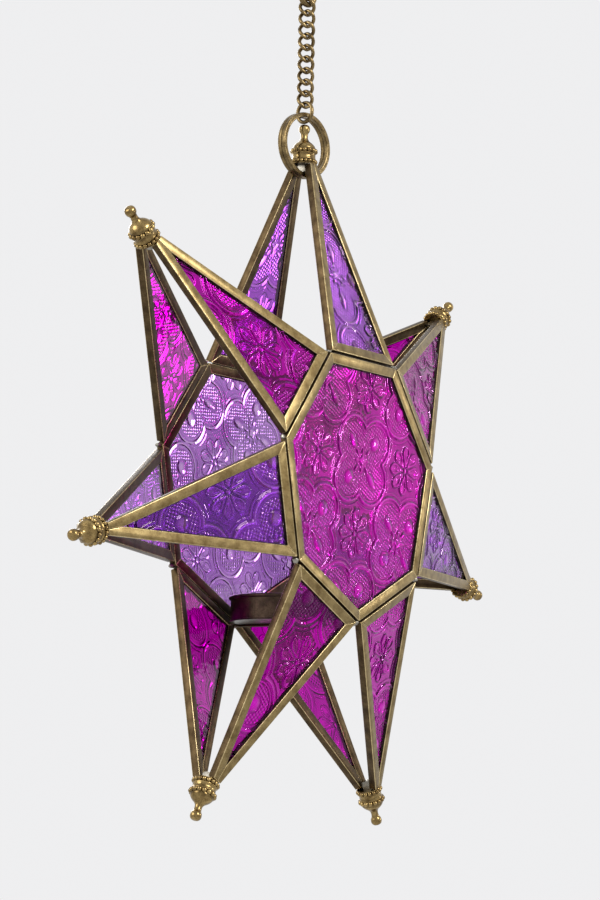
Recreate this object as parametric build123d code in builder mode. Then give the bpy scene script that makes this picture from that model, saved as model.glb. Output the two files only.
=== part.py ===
"""A hanging candle star of coloured pressed glass in folded brass channel.

A flat seven-sided pane stands in front and another behind it. From each of their edges a long pane
slopes to a tip halfway between them, so that seven hollow points with open sides stand out round a
seven-sided space. Every pane has its own frame of channel strips, and the frames are soldered edge
to edge. A tealight cup sits on a strap at the bottom, and a split ring passes between the two top
frames just under the top finial. A curb chain carries the ring from a hook.

The origin is where the hook rests on its peg. +Z is up, the star's front looks along -Y.
"""

import os
from math import asin, atan, cos, degrees, pi, radians, sin, sqrt, tan

from build123d import *

# ---------------------------------------------------------------- the star's own sizes, mm
POINTS = 7
HEPTAGON_RADIUS = 50.4  # the flat panes' frames, centre to outer corner
PANE_SPACING = 54.4  # between the middle planes of the front and back frames
TIP_RADIUS = 122.0  # star's centre to the seat of a finial
TIP_GAP = 3.0  # between a point's two frames at the finial
TIP_WIDTH = 4.4  # of a frame where it meets the finial
CORNER_SETBACK = 1.2  # a point's frame is this much shorter than its edge, at each end

# ---------------------------------------------------------------- channel, glass and solder
CHANNEL_FACE = 3.6
CHANNEL_DEPTH = 3.0
CHANNEL_SHEET = 0.45
MITRE_GAP = 0.1
SEAM_GAP = 0.3  # between a flat frame and the point's frame, at the inside
GLASS_THICKNESS = 2.0
GLASS_CLEARANCE = 0.3  # from the glass's edge to the channel's web
GLASS_TIP_SETBACK = 9.0  # the glass stops this far short of the end of its frame
SEAM_DEPTH = 1.7
SEAM_SETBACK = 4.0
SOLDER_CLEARANCE = 0.03
TIP_SOLDER_HEIGHT = 3.1
TIP_SOLDER_WIDTH = 2.6
TIP_SOLDER_CROWN = 0.9  # how far its rounded underside rises towards the two frames

# ---------------------------------------------------------------- finial, seat to knob
FINIAL_SEAT_GAP = 0.05
FINIAL_BASE_RADIUS = 4.8
FINIAL_BEAD_RADIUS = 5.3
FINIAL_BEAD_HEIGHT = 1.9
FINIAL_BAND_RADIUS = 4.5
FINIAL_BAND_HEIGHT = 2.2
FINIAL_DOME_RADIUS = 4.3
FINIAL_DOME_HEIGHT = 2.9
FINIAL_SHOULDER_RADIUS = 3.35  # of the dome, three fifths of the way up
FINIAL_SHOULDER_HEIGHT = 1.75
FINIAL_NECK_FOOT_RADIUS = 2.0
FINIAL_NECK_RADIUS = 1.35
FINIAL_NECK_TOP_RADIUS = 1.5
FINIAL_NECK_HEIGHT = 3.3
FINIAL_KNOB_RADIUS = 2.1
FINIAL_KNOB_TOP_RADIUS = 0.85
FINIAL_KNOB_HEIGHT = 3.1

# ---------------------------------------------------------------- candle cup and its strap
CUP_SIDE_GAP = 1.3  # between the cup's rolled rim and the flat frames
CUP_HEIGHT = 9.5
CUP_SHEET = 0.6
CUP_RIM_RADIUS = 0.7
CUP_CORNER_DROP = 0.3  # of the cup's underside below the flat frames' bottom corner
STRAP_WIDTH = 3.2
STRAP_SHEET = 0.8
STRAP_TAB = 6.5
STRAP_CLEARANCE = 0.05

# ---------------------------------------------------------------- split ring
RING_RADIUS = 12.5
RING_FACE = 1.8
RING_EDGE_RADIUS = 0.45
COIL_WIDTH = 1.8
COIL_GAP = 0.1
COIL_JOG = 36.0  # degrees of the ring over which it steps from one coil to the other
COIL_JOG_START = 20.0  # degrees up from the ring's side
COIL_JOG_SECTIONS = 7
RING_TURN = -10.0  # degrees from the star's face, seen from above

# ---------------------------------------------------------------- chain and hook
LINK_COUNT = 9
LINK_WIRE = 1.4
LINK_PITCH = 4.45
LINK_WIDTH = 6.6
LINK_TWIST = 90.0  # from one end of a link to the other
LINK_SECTIONS = 7  # along each half of its loop
JUMP_RING_RADIUS = 3.7  # to the middle of its wire
JUMP_RING_WIRE = 1.5
HOOK_WIRE = 2.2
HOOK_PEG_RADIUS = 5.0
HOOK_EYE_RADIUS = 2.6
HOOK_CENTRES = 16.0
HOOK_TIP_ANGLE = -25.0  # degrees below the peg's centre at which the open end stops
HOOK_EYE_WRAP = 285.0
RUNNING_GAP = 0.15  # left between two pieces that hang in each other
STAR_GAP = 0.3  # the same between the split ring and the solder that rocks on it

# ---------------------------------------------------------------- heights worked out down the chain
eye_centre_z = -HOOK_PEG_RADIUS - HOOK_CENTRES
first_link_top_z = eye_centre_z - HOOK_EYE_RADIUS + RUNNING_GAP + LINK_WIRE / 2
link_length = LINK_PITCH + LINK_WIRE + RUNNING_GAP  # between the middles of the wire's two ends
last_link_bottom_z = first_link_top_z - link_length - (LINK_COUNT - 1) * LINK_PITCH
jump_ring_top_z = last_link_bottom_z + LINK_WIRE / 2 + JUMP_RING_WIRE / 2 + RUNNING_GAP
jump_ring_z = jump_ring_top_z - JUMP_RING_RADIUS
ring_width = 2 * COIL_WIDTH + COIL_GAP
jump_ring_hole = JUMP_RING_RADIUS - JUMP_RING_WIRE / 2 - RUNNING_GAP
ring_seat_drop = sqrt(jump_ring_hole**2 - (ring_width / 2) ** 2)
ring_bore = RING_RADIUS - RING_FACE
ring_z = jump_ring_z - ring_seat_drop - ring_bore
tip_solder_bottom_z = ring_z - ring_bore + STAR_GAP
star_z = tip_solder_bottom_z + TIP_SOLDER_HEIGHT - TIP_RADIUS

# ---------------------------------------------------------------- slopes and widths worked out
half_step = pi / POINTS
apothem = HEPTAGON_RADIUS * cos(half_step)
edge_length = 2 * HEPTAGON_RADIUS * sin(half_step)
inner_face = PANE_SPACING / 2 - CHANNEL_DEPTH / 2  # star's middle plane to a frame's inner face
cup_radius = inner_face - CUP_SIDE_GAP - 2 * CUP_RIM_RADIUS + CUP_SHEET
base_radius = apothem + SEAM_GAP
slope = atan((inner_face - TIP_GAP / 2) / (TIP_RADIUS - base_radius))
end_radius = TIP_RADIUS - FINIAL_SEAT_GAP - CHANNEL_DEPTH * sin(slope)
frame_length = (end_radius - base_radius) / cos(slope)
half_base = edge_length / 2 - CORNER_SETBACK
half_tip = TIP_WIDTH / 2
taper = atan((half_base - half_tip) / frame_length)
channel_slot = CHANNEL_DEPTH - 2 * CHANNEL_SHEET
glass_inset = CHANNEL_SHEET + GLASS_CLEARANCE
star_centre = Vector(0, 0, star_z)
front = Vector(0, -1, 0)
back = Vector(0, 1, 0)
sides = {"front": front, "back": back}

os.makedirs("parts", exist_ok=True)


def outward(point):
    """The direction of a point from the star's centre. Point 1 is the top one, the rest follow clockwise."""
    turn = 2 * pi * (point - 1) / POINTS
    return Vector(sin(turn), 0, cos(turn))


def flat_pane_plane(facing):
    """The inner face of the flat front or back frame, with its normal towards the viewer."""
    return Plane(
        origin=star_centre + facing * inner_face,
        x_dir=facing.cross(Vector(0, 0, -1)),
        z_dir=facing,
    )


def sloped_pane_plane(point, facing):
    """The inner face of one frame of a point: x along its edge, y up the slope to the tip."""
    out = outward(point)
    up_slope = out * cos(slope) - facing * sin(slope)
    normal = out * sin(slope) + facing * cos(slope)
    return Plane(
        origin=star_centre + out * base_radius + facing * inner_face,
        x_dir=up_slope.cross(normal),
        z_dir=normal,
    )


def channel_strip(plane, outline, start, end):
    """One folded strip: a plate of this outline, slotted for the glass from its inner side."""
    along = (plane.from_local_coords(end) - plane.from_local_coords(start)).normalized()
    length = (end - start).length
    slot = Plane(origin=plane.from_local_coords(start), x_dir=along, z_dir=plane.z_dir)
    with BuildPart() as strip:
        with BuildSketch(plane):
            with BuildLine():
                Polyline(*outline, close=True)
            make_face()
        extrude(amount=CHANNEL_DEPTH)
        with BuildSketch(slot.offset(CHANNEL_SHEET)):
            with Locations((length / 2, CHANNEL_SHEET)):
                Rectangle(2 * length, 2 * CHANNEL_FACE, align=(Align.CENTER, Align.MIN))
        extrude(amount=channel_slot, mode=Mode.SUBTRACT)
    return strip.part


def edge_outline(start, end, inner_start, inner_end):
    """A straight strip's outline, shortened at both ends by half the gap at the mitres."""
    step = (end - start).normalized() * (MITRE_GAP / 2)
    return [start + step, end - step, inner_end - step, inner_start + step]


def flat_frame_strips(plane):
    """The seven strips of a flat pane's frame, with a corner at the bottom."""
    inner_radius = HEPTAGON_RADIUS - CHANNEL_FACE / cos(half_step)
    turns = [2 * pi * corner / POINTS - pi / 2 for corner in range(POINTS + 1)]
    outer = [Vector(cos(turn), sin(turn)) * HEPTAGON_RADIUS for turn in turns]
    inner = [Vector(cos(turn), sin(turn)) * inner_radius for turn in turns]
    strips = []
    for n in range(POINTS):
        outline = edge_outline(outer[n], outer[n + 1], inner[n], inner[n + 1])
        strips.append(channel_strip(plane, outline, outer[n], outer[n + 1]))
    return strips


def half_width(height, inset):
    """Half the width of a point's pane at a height above its edge, at an inset from its outline."""
    return half_base - height * tan(taper) - inset / cos(taper)


def sloped_frame_strips(plane):
    """The three strips of a point's frame: the base, and two sides that meet before the tip."""
    base_inner = half_width(CHANNEL_FACE, CHANNEL_FACE)
    meet = (half_base - CHANNEL_FACE / cos(taper)) / tan(taper)
    strips = []
    left = Vector(-half_base, 0)
    right = Vector(half_base, 0)
    base = edge_outline(left, right, Vector(-base_inner, CHANNEL_FACE), Vector(base_inner, CHANNEL_FACE))
    strips.append(channel_strip(plane, base, left, right))
    for side in (1, -1):
        foot = Vector(side * half_base, 0)
        top = Vector(side * half_tip, frame_length)
        step = (top - foot).normalized() * (MITRE_GAP / 2)
        middle = side * MITRE_GAP / 2
        outline = [
            foot + step,
            top,
            Vector(middle, frame_length),
            Vector(middle, meet),
            Vector(side * base_inner, CHANNEL_FACE) + step,
        ]
        start, end = (foot, top) if side == 1 else (top, foot)
        strips.append(channel_strip(plane, outline, start, end))
    return strips


def save(piece, name):
    """Labels one finished piece and writes its STEP file."""
    piece.label = name
    export_step(piece, f"parts/{name}.step")


# ---------------------------------------------------------------- the two flat panes and their frames
glass_level = (CHANNEL_DEPTH - GLASS_THICKNESS) / 2
for side, facing in sides.items():
    face = flat_pane_plane(facing)
    strips = flat_frame_strips(face)
    with BuildPart() as flat_frame:
        add(strips)
    save(flat_frame.part, f"{side}_frame")

    with BuildPart() as flat_glass:
        with BuildSketch(face.offset(glass_level)):
            RegularPolygon(HEPTAGON_RADIUS - glass_inset / cos(half_step), POINTS, rotation=-90)
        extrude(amount=GLASS_THICKNESS)
    save(flat_glass.part, f"{side}_glass")

# ---------------------------------------------------------------- the seven points: glass, frames, finials
glass_top = frame_length - GLASS_TIP_SETBACK
glass_corners = [
    (-half_width(glass_inset, glass_inset), glass_inset),
    (half_width(glass_inset, glass_inset), glass_inset),
    (half_width(glass_top, glass_inset), glass_top),
    (-half_width(glass_top, glass_inset), glass_top),
]
for point in range(1, POINTS + 1):
    for side, facing in sides.items():
        face = sloped_pane_plane(point, facing)
        strips = sloped_frame_strips(face)
        with BuildPart() as point_frame:
            add(strips)
        save(point_frame.part, f"point_{point}_{side}_frame")

        with BuildPart() as point_glass:
            with BuildSketch(face.offset(glass_level)):
                with BuildLine():
                    Polyline(*glass_corners, close=True)
                make_face()
            extrude(amount=GLASS_THICKNESS)
        save(point_glass.part, f"point_{point}_{side}_glass")

band_bottom = FINIAL_BEAD_HEIGHT
bead_2_bottom = band_bottom + FINIAL_BAND_HEIGHT
dome_bottom = bead_2_bottom + FINIAL_BEAD_HEIGHT
neck_bottom = dome_bottom + FINIAL_DOME_HEIGHT
knob_bottom = neck_bottom + FINIAL_NECK_HEIGHT
finial_length = knob_bottom + FINIAL_KNOB_HEIGHT
for point in range(1, POINTS + 1):
    axis_up = outward(point)
    seat = star_centre + axis_up * TIP_RADIUS
    with BuildPart() as finial:
        with BuildSketch(Plane(origin=seat, x_dir=back, z_dir=back.cross(axis_up))):
            with BuildLine():
                Line((0, 0), (FINIAL_BASE_RADIUS, 0))
                ThreePointArc(
                    (FINIAL_BASE_RADIUS, 0),
                    (FINIAL_BEAD_RADIUS, FINIAL_BEAD_HEIGHT / 2),
                    (FINIAL_BAND_RADIUS, band_bottom),
                )
                Line((FINIAL_BAND_RADIUS, band_bottom), (FINIAL_BAND_RADIUS, bead_2_bottom))
                ThreePointArc(
                    (FINIAL_BAND_RADIUS, bead_2_bottom),
                    (FINIAL_BEAD_RADIUS, bead_2_bottom + FINIAL_BEAD_HEIGHT / 2),
                    (FINIAL_DOME_RADIUS, dome_bottom),
                )
                ThreePointArc(
                    (FINIAL_DOME_RADIUS, dome_bottom),
                    (FINIAL_SHOULDER_RADIUS, dome_bottom + FINIAL_SHOULDER_HEIGHT),
                    (FINIAL_NECK_FOOT_RADIUS, neck_bottom),
                )
                ThreePointArc(
                    (FINIAL_NECK_FOOT_RADIUS, neck_bottom),
                    (FINIAL_NECK_RADIUS, neck_bottom + FINIAL_NECK_HEIGHT / 2),
                    (FINIAL_NECK_TOP_RADIUS, knob_bottom),
                )
                ThreePointArc(
                    (FINIAL_NECK_TOP_RADIUS, knob_bottom),
                    (FINIAL_KNOB_RADIUS, knob_bottom + FINIAL_KNOB_HEIGHT / 2),
                    (FINIAL_KNOB_TOP_RADIUS, finial_length),
                )
                Line((FINIAL_KNOB_TOP_RADIUS, finial_length), (0, finial_length))
                Line((0, finial_length), (0, 0))
            make_face()
        revolve(axis=Axis(seat, axis_up))
    save(finial.part, f"finial_{point}")

# ---------------------------------------------------------------- solder in the seams and under the finials
for side, facing in sides.items():
    seams = []
    for point in range(1, POINTS + 1):
        out = outward(point)
        along = facing.cross(out)
        depth = SEAM_DEPTH * cos(slope)
        widening = SEAM_DEPTH * sin(slope)
        groove = Plane(
            origin=star_centre + out * apothem + facing * inner_face,
            x_dir=out,
            z_dir=out.cross(facing),
        )
        with BuildPart() as seam:
            with BuildSketch(groove):
                with BuildLine():
                    Polyline(
                        (SOLDER_CLEARANCE, 0),
                        (SEAM_GAP - SOLDER_CLEARANCE, 0),
                        (SEAM_GAP - SOLDER_CLEARANCE + widening, depth),
                        (SOLDER_CLEARANCE, depth),
                        close=True,
                    )
                make_face()
            extrude(amount=edge_length / 2 - SEAM_SETBACK, both=True)
        seams.append(seam.part)
    with BuildPart() as seam_solder:
        add(seams)
    save(seam_solder.part, f"{side}_seam_solder")

fill_level = -SOLDER_CLEARANCE
fill_edge = TIP_SOLDER_CROWN - TIP_SOLDER_HEIGHT
fill_top = TIP_GAP / 2 - SOLDER_CLEARANCE
fill_foot = fill_top - fill_edge * tan(slope)
fills = []
for point in range(1, POINTS + 1):
    out = outward(point)
    across = Plane(origin=star_centre + out * TIP_RADIUS, x_dir=back, z_dir=back.cross(out))
    with BuildPart() as fill:
        with BuildSketch(across):
            with BuildLine():
                Polyline((-fill_foot, fill_edge), (-fill_top, fill_level), (fill_top, fill_level), (fill_foot, fill_edge))
                ThreePointArc((fill_foot, fill_edge), (0, -TIP_SOLDER_HEIGHT), (-fill_foot, fill_edge))
            make_face()
        extrude(amount=TIP_SOLDER_WIDTH / 2, both=True)
    fills.append(fill.part)
with BuildPart() as tip_solder:
    add(fills)
save(tip_solder.part, "tip_solder")

# ---------------------------------------------------------------- tealight cup and the strap that holds it
cup_floor_z = star_z - HEPTAGON_RADIUS - CUP_CORNER_DROP
cup_rim_z = cup_floor_z + CUP_HEIGHT
with BuildPart() as candle_cup:
    with BuildSketch(Plane.XZ):
        with Locations((0, cup_floor_z)):
            Rectangle(cup_radius, CUP_SHEET, align=(Align.MIN, Align.MIN))
        with Locations((cup_radius, cup_floor_z)):
            Rectangle(CUP_SHEET, CUP_HEIGHT - CUP_RIM_RADIUS, align=(Align.MAX, Align.MIN))
        with Locations((cup_radius - CUP_SHEET + CUP_RIM_RADIUS, cup_rim_z - CUP_RIM_RADIUS)):
            Circle(CUP_RIM_RADIUS)
        with Locations((cup_radius, cup_floor_z + CUP_SHEET / 2)):
            Circle(CUP_SHEET / 2)
    revolve(axis=Axis.Z)
save(candle_cup.part, "candle_cup")

strap_end = inner_face - STRAP_CLEARANCE
strap_top = cup_floor_z - STRAP_CLEARANCE
strap_bottom = strap_top - STRAP_SHEET
tab_top = strap_bottom + STRAP_TAB
with BuildPart() as cup_strap:
    with BuildSketch(Plane.YZ):
        with BuildLine():
            Polyline(
                (-strap_end, tab_top),
                (-strap_end, strap_bottom),
                (strap_end, strap_bottom),
                (strap_end, tab_top),
                (strap_end - STRAP_SHEET, tab_top),
                (strap_end - STRAP_SHEET, strap_top),
                (STRAP_SHEET - strap_end, strap_top),
                (STRAP_SHEET - strap_end, tab_top),
                close=True,
            )
        make_face()
    extrude(amount=STRAP_WIDTH / 2, both=True)
save(cup_strap.part, "cup_strap")

# ---------------------------------------------------------------- split ring: two flat coils and the step between
ring_centre = Vector(0, 0, ring_z)
ring_along = Vector(cos(radians(RING_TURN)), sin(radians(RING_TURN)), 0)
ring_plane = Plane(origin=ring_centre, x_dir=ring_along, z_dir=ring_along.cross(Vector(0, 0, 1)))
coil_middle = RING_RADIUS - RING_FACE / 2
coil_shift = (COIL_WIDTH + COIL_GAP) / 2
ring_axis = Axis(ring_centre, ring_plane.z_dir)


def coil_section(turn, shift):
    """The plane across the coil's wire at an angle round the ring, shifted along the ring's axis."""
    spoke = ring_plane.x_dir * cos(radians(turn)) + ring_plane.y_dir * sin(radians(turn))
    return Plane(
        origin=ring_centre + spoke * coil_middle + ring_plane.z_dir * shift,
        x_dir=spoke,
        z_dir=ring_plane.z_dir.cross(spoke),
    )


with BuildPart() as hanging_ring:
    for shift in (-coil_shift, coil_shift):
        with BuildSketch(coil_section(COIL_JOG_START + COIL_JOG, shift)):
            RectangleRounded(RING_FACE, COIL_WIDTH, RING_EDGE_RADIUS)
        revolve(axis=ring_axis, revolution_arc=360 - COIL_JOG)
    for section in range(COIL_JOG_SECTIONS):
        share = section / (COIL_JOG_SECTIONS - 1)
        ease = (1 - cos(pi * share)) / 2
        with BuildSketch(coil_section(COIL_JOG_START + COIL_JOG * share, coil_shift * (2 * ease - 1))):
            RectangleRounded(RING_FACE, COIL_WIDTH, RING_EDGE_RADIUS)
    loft()
save(hanging_ring.part, "hanging_ring")

# ---------------------------------------------------------------- jump ring across the split ring
ring_normal = ring_plane.z_dir
with BuildPart() as jump_ring:
    with BuildSketch(Plane(origin=(0, 0, jump_ring_top_z), x_dir=(0, 0, 1), z_dir=ring_normal)):
        Circle(JUMP_RING_WIRE / 2)
    revolve(axis=Axis((0, 0, jump_ring_z), ring_along))
save(jump_ring.part, "jump_ring")

# ---------------------------------------------------------------- curb chain
link_span = LINK_WIDTH - LINK_WIRE


def link_wire_direction(height):
    """Which way a link's wire loop faces, from -1 at its bottom end to 1 at its top end."""
    turn = radians(RING_TURN - LINK_TWIST * (1 + height) / 2)
    return Vector(cos(turn), sin(turn), 0)


def link_point(turn, middle):
    """A point of the twisted loop, with turn 0 at the top end and half a circle at the bottom."""
    across = link_wire_direction(cos(turn)) * (link_span / 2 * sin(turn))
    return middle + across + Vector(0, 0, link_length / 2 * cos(turn))


def link_direction(turn, middle):
    """Which way the wire runs at that point of the loop."""
    nudge = pi / 1000
    return (link_point(turn + nudge, middle) - link_point(turn - nudge, middle)).normalized()


for number in range(1, LINK_COUNT + 1):
    middle = Vector(0, 0, first_link_top_z - link_length / 2 - (number - 1) * LINK_PITCH)
    with BuildPart() as chain_link:
        for first_turn in (0, pi):
            for section in range(LINK_SECTIONS):
                turn = first_turn + pi * section / (LINK_SECTIONS - 1)
                wire = link_point(turn, middle)
                with BuildSketch(Plane(origin=wire, x_dir=wire - middle, z_dir=link_direction(turn, middle))):
                    Circle(LINK_WIRE / 2)
            loft()
    save(chain_link.part, f"chain_link_{number}")

# ---------------------------------------------------------------- hook on its peg
peg_path_radius = HOOK_PEG_RADIUS + HOOK_WIRE / 2
eye_path_radius = HOOK_EYE_RADIUS + HOOK_WIRE / 2
lean = degrees(asin((peg_path_radius + eye_path_radius) / HOOK_CENTRES))
hook_plane = Plane(origin=(0, 0, 0), x_dir=ring_along, z_dir=ring_normal)
with BuildPart() as top_hook:
    with BuildLine(hook_plane):
        bend = CenterArc((0, -HOOK_PEG_RADIUS), peg_path_radius, HOOK_TIP_ANGLE, 180 + lean - HOOK_TIP_ANGLE)
        eye = CenterArc((0, eye_centre_z), eye_path_radius, lean, -HOOK_EYE_WRAP)
        Line(bend @ 1, eye @ 0)
    with BuildSketch(Plane(origin=bend @ 0, z_dir=bend % 0)):
        Circle(HOOK_WIRE / 2)
    sweep()
save(top_hook.part, "top_hook")

print("star centre z", round(star_z, 3), "slope", round(degrees(slope), 2), "taper", round(degrees(taper), 2))
print("cup floor z", round(cup_floor_z, 3), "ring centre z", round(ring_z, 3), "jump ring z", round(jump_ring_z, 3))
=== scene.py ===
# %% [markdown]
# # A hanging glass star, dressed for its portrait
#
# The real object is a candle star: two seven-sided panes of pressed glass, fourteen long
# three-sided ones, and a folded brass channel round every pane, soldered edge to edge. A packed
# model of it gives the true sizes. This lesson loads that model as a fixed frame and makes the
# surfaces that a camera sees, one kind of piece at a time: camera, lights, brass, glass with its
# raised pattern, channels, beaded finials, cup, solder and chain.

# %% Load the frame and keep its box
import math
from math import cos, pi, radians, sin

import bmesh
import bpy
import numpy as np
from mathutils import Matrix, Vector


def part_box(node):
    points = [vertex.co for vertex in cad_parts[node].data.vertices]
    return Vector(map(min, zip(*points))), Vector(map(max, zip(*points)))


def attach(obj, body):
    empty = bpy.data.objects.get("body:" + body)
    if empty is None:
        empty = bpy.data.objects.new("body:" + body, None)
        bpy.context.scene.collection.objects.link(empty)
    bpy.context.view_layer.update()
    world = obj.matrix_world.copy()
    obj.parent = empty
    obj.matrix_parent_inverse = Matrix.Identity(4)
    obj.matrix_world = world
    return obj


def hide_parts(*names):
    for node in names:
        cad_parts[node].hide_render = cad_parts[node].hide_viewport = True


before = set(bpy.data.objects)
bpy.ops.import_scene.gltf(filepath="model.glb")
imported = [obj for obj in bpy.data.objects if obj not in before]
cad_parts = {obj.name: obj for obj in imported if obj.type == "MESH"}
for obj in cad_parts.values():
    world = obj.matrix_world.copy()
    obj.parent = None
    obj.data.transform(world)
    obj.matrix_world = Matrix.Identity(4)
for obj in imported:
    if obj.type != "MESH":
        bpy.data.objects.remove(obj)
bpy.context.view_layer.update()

MM = 0.001
POINTS = 7

# %% [markdown]
# ## Where the star is
#
# Every piece below is placed from the star's centre, which is also the centre of its two flat
# frames. A seven-sided frame has a corner at the bottom, so its box isn't centred: the centre is
# one corner radius above its lowest point.

# %% Find the star's centre and the ways out of it
CORNER_RADIUS = 50.4 * MM
star_centre = Vector((0, 0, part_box("front_frame")[0].z + CORNER_RADIUS))


def outward(point):
    """The direction of a point from the star's centre; point 1 is the top one, clockwise."""
    turn = 2 * pi * (point - 1) / POINTS
    return Vector((sin(turn), 0, cos(turn)))


def direction(azimuth, elevation):
    """The way from the star to what is seen at that azimuth and elevation, in degrees."""
    a, e = radians(azimuth), radians(elevation)
    return Vector((sin(a) * cos(e), -cos(a) * cos(e), sin(e)))


def put_in_scene(name, data):
    """An object that shows some data, linked to the scene."""
    thing = bpy.data.objects.new(name, data)
    bpy.context.scene.collection.objects.link(thing)
    return thing


print("the star's centre is", [round(c, 4) for c in star_centre])

# %% [markdown]
# ## The camera
#
# The portrait was taken from the star's left and from a little below, with a long lens, so the
# far points look nearly as large as the near ones. The camera stands on a line from the star's
# centre, looks back along it, leans by a degree and a bit, and is shifted so that the star hangs
# low in a tall picture and the chain has room above it.

# %% Place the camera
VIEW_AZIMUTH, VIEW_ELEVATION = -55.84, -6.57
VIEW_DISTANCE = 1.10
VIEW_LEAN = radians(1.2)
LENS, SENSOR_WIDTH = 118.5, 36
PICTURE_HEIGHT = 900
SHIFT_RIGHT, SHIFT_UP = 3.0, 37.1  # picture points

camera_data = bpy.data.cameras.new("portrait_camera")
camera_data.lens = LENS
camera_data.sensor_width = SENSOR_WIDTH
camera_data.shift_x = SHIFT_RIGHT / PICTURE_HEIGHT
camera_data.shift_y = SHIFT_UP / PICTURE_HEIGHT
camera = put_in_scene("portrait_camera", camera_data)
bpy.context.scene.camera = camera
to_camera = direction(VIEW_AZIMUTH, VIEW_ELEVATION)
camera.location = star_centre + to_camera * VIEW_DISTANCE
level = (-to_camera).to_track_quat("-Z", "Y")
camera.rotation_euler = (level.to_matrix() @ Matrix.Rotation(VIEW_LEAN, 3, "Z")).to_euler()
print("camera at", [round(c, 3) for c in camera.location])

# %% [markdown]
# ## Floor, backdrop and light
#
# Coloured glass shows mostly what is behind it, so the surroundings matter as much as the lamps.
# The world is plain and pale to the camera, to mirrors and to light that comes through glass, and
# dimmer as a lamp, so that three soft lamps can still model the shapes. A plain floor lies well
# below the hanging star, far enough from the lamps to stay off pure white. Flat glass mirrors a
# lamp as a white sheet, so the first lamp stands where no pane mirrors it to the camera, and the
# third one stands behind, just outside the picture, where only the steep sides of the pressed
# pattern can bend its light to the camera. A fourth lamp is small and weak. It stands ten to
# thirty degrees from where each flat pane would mirror it, so only beads and ridges catch it, as
# small sparks.

# %% Short ways to make nodes


def node_tree(owner):
    """An empty node tree on a material or the world."""
    owner.use_nodes = True
    tree = owner.node_tree
    tree.nodes.clear()
    return tree


def link(tree, a, b):
    """Joins one output socket to one input socket."""
    tree.links.new(a, b)


def set_in(node, **values):
    """Sets input sockets of a node by name, with spaces written as underscores."""
    for name, value in values.items():
        node.inputs[name.replace("_", " ")].default_value = value


def math_node(tree, operation, a, b):
    """A sum, product or the like of two sockets or numbers."""
    node = tree.nodes.new("ShaderNodeMath")
    node.operation = operation
    for socket, value in zip(node.inputs, (a, b)):
        if isinstance(value, (int, float)):
            socket.default_value = value
        else:
            link(tree, value, socket)
    return node.outputs[0]


def kept_value(tree, called):
    """A named number that the mesh keeps at each of its points."""
    node = tree.nodes.new("ShaderNodeAttribute")
    node.attribute_name = called
    return node.outputs["Fac"]


print("nodes can be made, joined and set")

# %% Make the pale world
PALE = (0.86, 0.86, 0.87, 1)
ROOM_LIGHT, ROOM_STRENGTH = (0.80, 0.82, 0.86, 1), 0.55
world =bpy.data.worlds.new("pale_room")
bpy.context.scene.world = world
tree = node_tree(world)
path = tree.nodes.new("ShaderNodeLightPath")
seen = math_node(tree, "MAXIMUM", path.outputs["Is Camera Ray"], path.outputs["Is Transmission Ray"])
shown = math_node(tree, "MAXIMUM", seen, path.outputs["Is Glossy Ray"])
room_light = tree.nodes.new("ShaderNodeBackground")
set_in(room_light, Color=ROOM_LIGHT, Strength=ROOM_STRENGTH)
room_seen = tree.nodes.new("ShaderNodeBackground")
set_in(room_seen, Color=PALE, Strength=1.0)
room = tree.nodes.new("ShaderNodeMixShader")
link(tree, shown, room.inputs[0])
link(tree, room_light.outputs[0], room.inputs[1])
link(tree, room_seen.outputs[0], room.inputs[2])
world_out = tree.nodes.new("ShaderNodeOutputWorld")
link(tree, room.outputs[0], world_out.inputs[0])
print("a world that looks", PALE[0], "bright and lights with", ROOM_STRENGTH)

# %% Lay the floor
FLOOR_DROP = 0.90
FLOOR_RADIUS = 1.9
floor_mesh =bpy.data.meshes.new("floor")
floor_form = bmesh.new()
bmesh.ops.create_circle(floor_form, cap_ends=True, segments=96, radius=FLOOR_RADIUS)
floor_form.to_mesh(floor_mesh)
floor_form.free()
floor = put_in_scene("floor", floor_mesh)
floor.location = (0, 0, -FLOOR_DROP)
floor_paint = bpy.data.materials.new("pale_floor")
tree = node_tree(floor_paint)
paint = tree.nodes.new("ShaderNodeBsdfPrincipled")
set_in(paint, Base_Color=PALE, Roughness=0.9)
paint_out = tree.nodes.new("ShaderNodeOutputMaterial")
link(tree, paint.outputs[0], paint_out.inputs[0])
floor_mesh.materials.append(floor_paint)
print("a floor", round(FLOOR_DROP, 2), "m under the hook")

# %% Hang the lamps
LAMPS = [  # name, azimuth and elevation in degrees, distance and size in metres, watts
    ("key_lamp", -6, 30, 1.3, 0.55, 12),
    ("side_lamp", -118, 25, 1.4, 0.8, 10),
    ("back_lamp", 143, 20, 1.5, 0.5, 5.5),
    ("spark_lamp", 46, 10, 1.4, 0.12, 2.0),
]
for name, azimuth, elevation, distance, size, power in LAMPS:
    lamp_data = bpy.data.lights.new(name, "AREA")
    lamp_data.size = size
    lamp_data.energy = power
    lamp = put_in_scene(name, lamp_data)
    way = direction(azimuth, elevation)
    lamp.location = star_centre + way * distance
    lamp.rotation_euler = (-way).to_track_quat("-Z", "Y").to_euler()
    lamp.visible_camera = False
bpy.context.scene.view_settings.view_transform = "Standard"
print("three soft lamps and a small one for the sparks")

# %% [markdown]
# ## Brass, new and old
#
# Antiqued brass is darkened in a bath and then rubbed, so the faces that a rag reaches are khaki
# gold with a fine grain. On the channels the sides and corners are brown, partly from the bath and
# partly as painted shade, and the folded edges carry a bright tone that is a painted glint as well
# as rubbed wear. One recipe makes all of it: a base colour that wanders between two browns over a
# few millimetres, fine specks of the darkening bath, and a roughness and bump that follow the same
# specks. On the finials a near black is painted into the roots of the beads as painted shade: their
# mesh keeps a number that says how deep in such a hollow each point lies, and the recipe mixes in
# the near black there.

# %% Noise, ramps and ranges


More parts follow.
